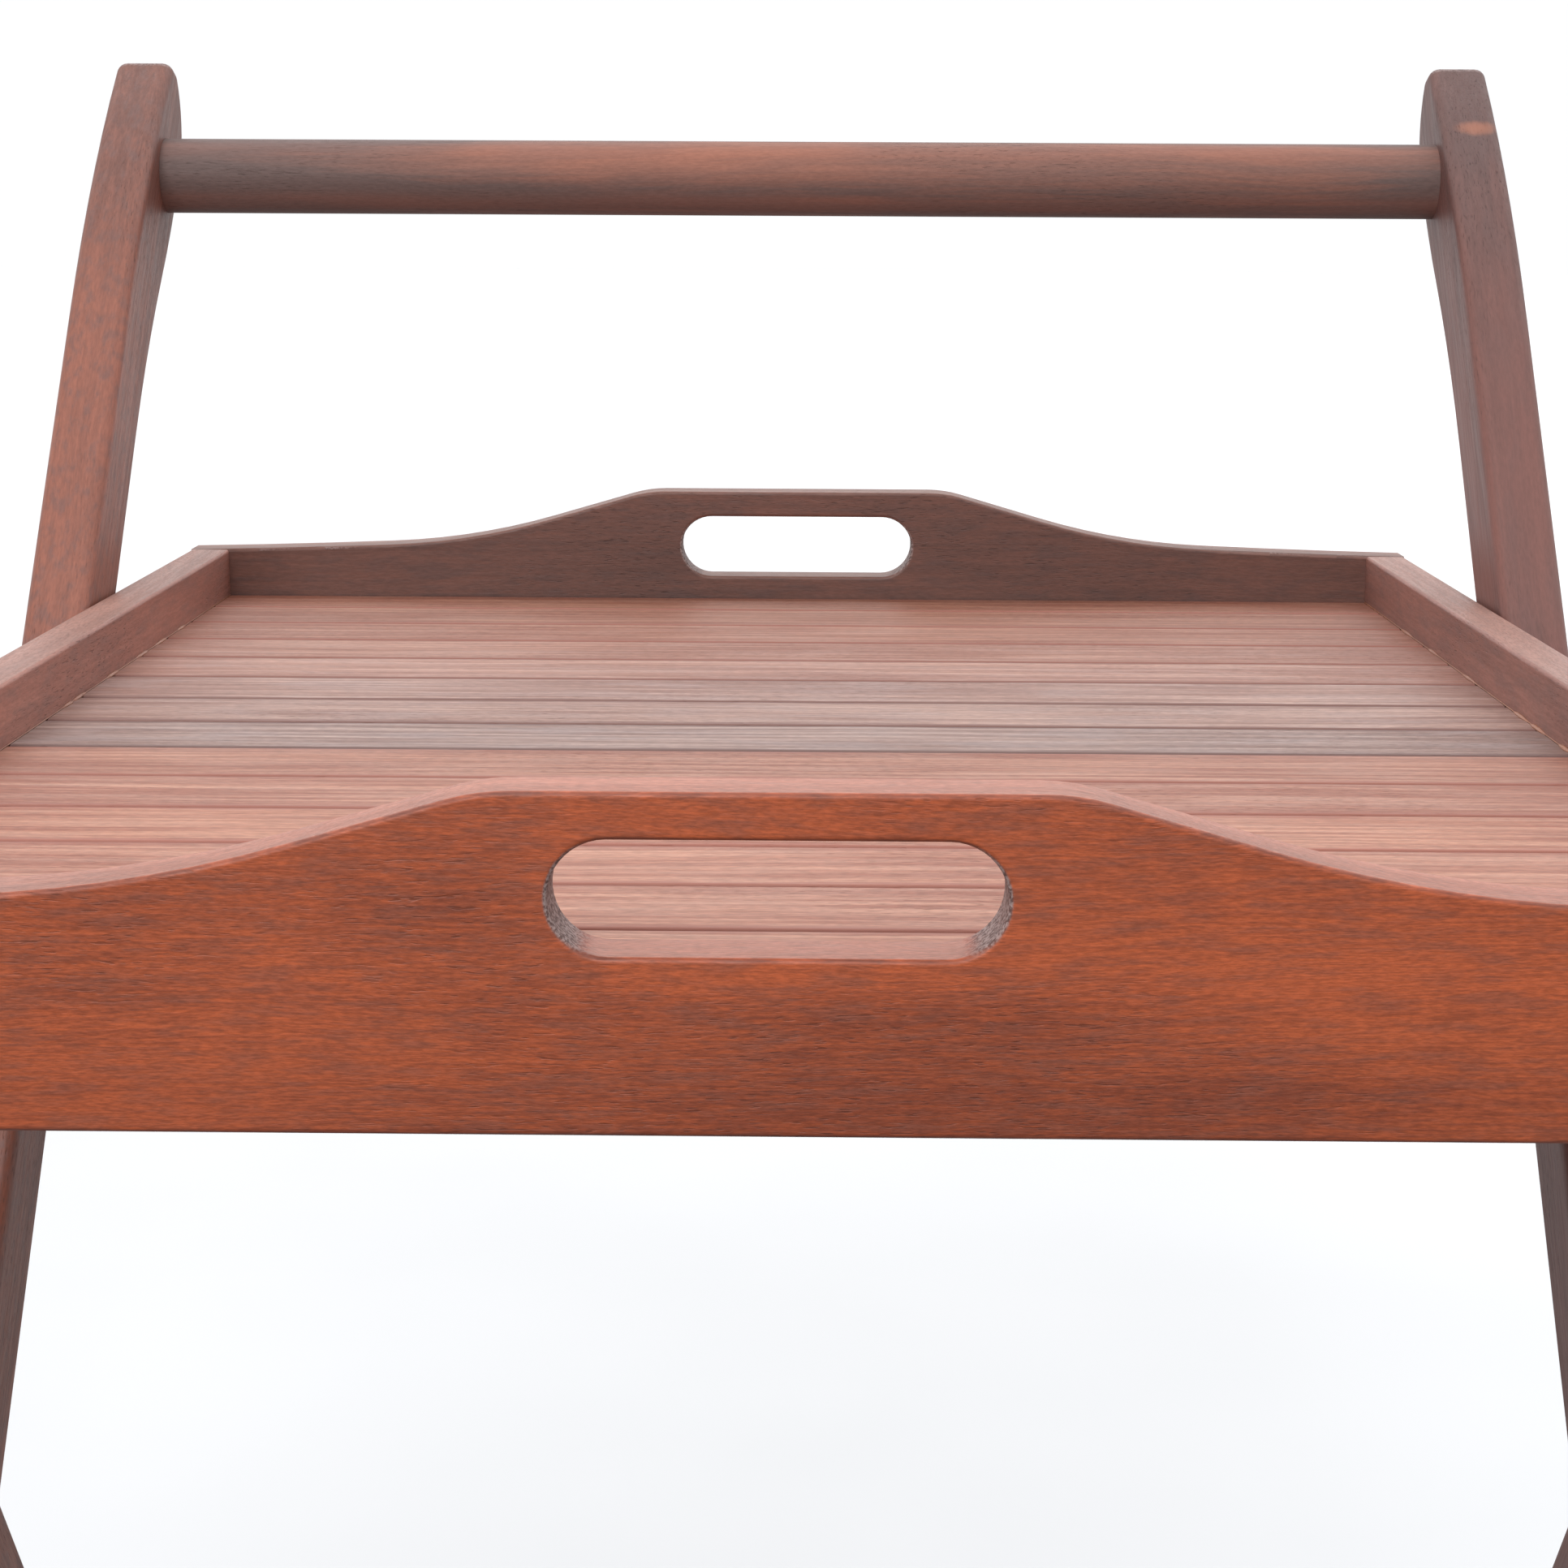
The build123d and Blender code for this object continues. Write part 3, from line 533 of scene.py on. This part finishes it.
def dress_wood():
    """One material for each board, so that no two share the same grain."""
    leg_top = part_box("left_long_leg")[1].z
    leg_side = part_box("right_long_leg")[1].x
    # Painted shade: the front board gets darker towards its foot, and the long legs towards their heads.
    board_foot_shade = ("Z", TRAY_FOOT + 0.035, TRAY_FOOT, 0.3)
    head_shade = ("Z", leg_top - 0.11, leg_top - 0.02, 0.6)
    worn_mark = (leg_side - 0.009, leg_top - 0.024, 0.009, 0.003)

    # The boards and rails take a painted sheen on their up-facing faces.
    board = dict(figure=0.3, contrast=1.2, cloud=0.28, chill=0.5, fibre=NEAR_FIBRE,
                 fleck=(450, 2200), mottle=(80, 420), top_sheen=0.6,
                 edge_tone=DEEP_RED, edge_strength=0.65, shades=(board_foot_shade,))
    rear = dict(contrast=0.7, top_sheen=0.4)
    rail = dict(contrast=0.7, top_sheen=0.6)
    leg = dict(contrast=0.45, chill=0.3, mottle=(25, 90), edge_strength=0.06, shades=(head_shade,))
    spotty_leg = dict(contrast=0.7, chill=0.6, mottle=(150, 260), edge_strength=0.06, shades=(head_shade,))
    rod = dict(figure=0.6, contrast=0.6, chill=0.35, mottle=(14, 90), gloss=0.55, specular=0.35,
               shades=rod_shades())

    plan = [
        ("front_end_board", ALONG_X, RUSSET, board),
        ("rear_end_board", ALONG_X, UMBER, rear),
        ("left_side_rail", ALONG_Y, RAIL_BROWN, rail),
        ("right_side_rail", ALONG_Y, RAIL_MAUVE, rail),
        ("left_long_leg", UP_LONG_LEG, POST_RED, spotty_leg),
        ("right_long_leg", UP_LONG_LEG, POST_MAUVE, {**leg, "spot": worn_mark}),
        ("left_short_leg", UP_SHORT_LEG, POST_RED, spotty_leg),
        ("right_short_leg", UP_SHORT_LEG, POST_MAUVE, leg),
        ("handle_rod", ALONG_X, ROD_BROWN, rod),
        ("front_support_bar", ALONG_X, POST_RED, {}),
        ("rear_support_bar", ALONG_X, POST_RED, {}),
        ("long_leg_stretcher", ALONG_X, POST_RED, {}),
        ("short_leg_stretcher", ALONG_X, POST_MAUVE, {}),
        ("left_ledger_strip", ALONG_Y, UMBER, {}),
        ("right_ledger_strip", ALONG_Y, UMBER, {}),
        ("centre_batten", ALONG_Y, UMBER, {}),
    ]
    for seed, (name, along, tones, look) in enumerate(plan):
        give(name, wood_material(f"wood_{name}", along, tones, seed, **look))


SLAT_SEED = 100


def dress_slats():
    """Slats differ a little: those past the middle are greyer, and the rearmost are darker."""
    dice = random.Random(5)
    # Painted shade, with some dust, where the slat ends meet the rails.
    end_shades = [("X", side * (RAIL_INNER_X - 0.06), side * RAIL_INNER_X, 0.35) for side in (-1, 1)]
    slat_look = dict(figure=0.75, contrast=1.2, chill=0.5, fibre=SLAT_FIBRE, fleck=(260, 1500),
                     bands=260, mottle=(25, 110), gloss=0.46, edge_strength=0.8, shades=end_shades)
    # By slat number: the share of grey in it, and how light it is. The others are near 0 and 1.
    greyness = {7: 0.95, 8: 0.75, 9: 0.75, 10: 0.5, 11: 0.3}
    lightness = {7: 0.93, 8: 1.0, 9: 1.10, 10: 1.14, 11: 1.04, 12: 0.98, 13: 0.91, 14: 0.86}
    for number, name in enumerate(SLATS, start=1):
        share = greyness.get(number, dice.uniform(0, 0.15))
        light = lightness.get(number, dice.uniform(0.94, 1.06))
        tones = [
            [light * (warm + share * (weathered - warm)) for warm, weathered in zip(rose, ash)]
            for rose, ash in zip(ROSE, ASH_ROSE)
        ]
        low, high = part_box(name)
        # tone of the painted shade and oil staining at the gaps, duller on greyer slats
        shade_and_stain = [red + share * (dull - red) for red, dull in zip(GAP_STAIN_AND_SHADE, GAP_SHADOW)]
        timber = wood_material(
            f"wood_{name}", ALONG_X, tones, SLAT_SEED + number,
            edge_tone=shade_and_stain, gap_lines=(low.y, high.y), **slat_look,
        )
        give(name, timber)


# ---------------------------------------------------------------- metal
def metal_material(name, colour, tarnish, roughness):
    """Plated metal with cloudy tarnish and fine scratches."""
    material = bpy.data.materials.new(name)
    material.use_nodes = True
    tree = material.node_tree
    shader = tree.nodes["Principled BSDF"]
    place = make_node(tree, "ShaderNodeTexCoord").outputs["Object"]
    clouds = stretched_noise(tree, place, (160, 160, 160), detail=4.0)["Fac"]
    scratches = stretched_noise(tree, place, (400, 3000, 900), detail=2.0)["Fac"]
    tree.links.new(
        blend_colours(tree, remap(tree, clouds, 0.4, 0.7), colour, tarnish), shader.inputs["Base Color"]
    )
    tree.links.new(remap(tree, clouds, 0.3, 0.7, roughness, roughness + 0.2), shader.inputs["Roughness"])
    shader.inputs["Metallic"].default_value = 1.0
    bump = make_node(tree, "ShaderNodeBump", {"Height": scratches, "Strength": 0.3, "Distance": 0.0001})
    tree.links.new(bump.outputs[0], shader.inputs["Normal"])
    return material


def dress_metal():
    """Zinc for the pivots and brass for the screws."""
    zinc = metal_material("zinc", (0.62, 0.62, 0.63), (0.42, 0.42, 0.43), 0.28)
    brass = metal_material("brass", (0.60, 0.42, 0.18), (0.30, 0.20, 0.10), 0.35)
    for name in nodes:
        if name in ("pivot_bolts", "spacer_washers", "nut_washers", "cap_nuts"):
            give(name, zinc)
        elif name.endswith("screws"):
            give(name, brass)


# ---------------------------------------------------------------- finish line along the slat ends
BEAD_STEPS = 300                    # steps from one end of a bead to the other
BEAD_POINTS = 5                     # points on the quarter circle of each ring
BEAD_THIN = 0.0003
BEAD_THICK = 0.0013                 # in the middle of a drop
BEAD_DEPTH = 0.0004                 # reaches this far down between slat and rail
BEAD_FLATNESS = 0.8                 # its height as a share of its width
DROPS = 13
DROP_REACH = (1.5, 6)               # least and most steps from a drop's middle to its end
UNEVENNESS = (0.7, 1.0)             # least and most of a drop's size at each step
BEAD_SEEDS = {-1: 41, 1: 43}        # by side: -1 is the left and 1 the right
BEAD_GRAIN_SEED = 60


def bead_ring(shape, side, y, size):
    """Points of one cross-section: a quarter circle, and a foot between slat and rail."""
    ring = []
    for point in range(BEAD_POINTS):
        angle = pi / 2 * point / (BEAD_POINTS - 1)
        x = side * (RAIL_INNER_X - size * cos(angle))
        z = SLAT_TOP + size * sin(angle) * BEAD_FLATNESS
        ring.append(shape.verts.new((x, y, z)))
    ring.append(shape.verts.new((side * RAIL_INNER_X, y, SLAT_TOP - BEAD_DEPTH)))
    return ring


def make_finish_bead(side, name):
    """Thin broken bead of hardened oil where the slat ends meet a rail, with a few thicker drops."""
    dice = random.Random(BEAD_SEEDS[side])
    drops = [(dice.uniform(0, BEAD_STEPS), dice.uniform(*DROP_REACH)) for _ in range(DROPS)]
    shape = bmesh.new()
    rings = []
    for step in range(BEAD_STEPS + 1):
        y = INNER_FRONT + (INNER_REAR - INNER_FRONT) * step / BEAD_STEPS
        swell = max(max(0.0, 1 - ((step - centre) / reach) ** 2) for centre, reach in drops)
        size = BEAD_THIN + (BEAD_THICK - BEAD_THIN) * swell * dice.uniform(*UNEVENNESS)
        rings.append(bead_ring(shape, side, y, size))
    for ahead, behind in zip(rings[1:], rings):
        for point in range(len(ahead)):
            following = (point + 1) % len(ahead)
            shape.faces.new((behind[point], behind[following], ahead[following], ahead[point]))
    shape.faces.new(rings[0])
    shape.faces.new(reversed(rings[-1]))
    bmesh.ops.recalc_face_normals(shape, faces=shape.faces)
    mesh = bpy.data.meshes.new(name)
    shape.to_mesh(mesh)
    shape.free()
    for polygon in mesh.polygons:
        polygon.use_smooth = True
    bead = bpy.data.objects.new(name, mesh)
    bpy.context.scene.collection.objects.link(bead)
    oil = wood_material(f"oil_{name}", ALONG_Y, AMBER, BEAD_GRAIN_SEED + side, gloss=0.3)
    mesh.materials.append(oil)
    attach(bead, "tray")


# ---------------------------------------------------------------- the whole scene
make_world()
make_camera()
make_floor()
make_overhead_light()
make_key_light()
dress_wood()
dress_slats()
dress_metal()
make_finish_bead(-1, "left_finish_bead")
make_finish_bead(1, "right_finish_bead")
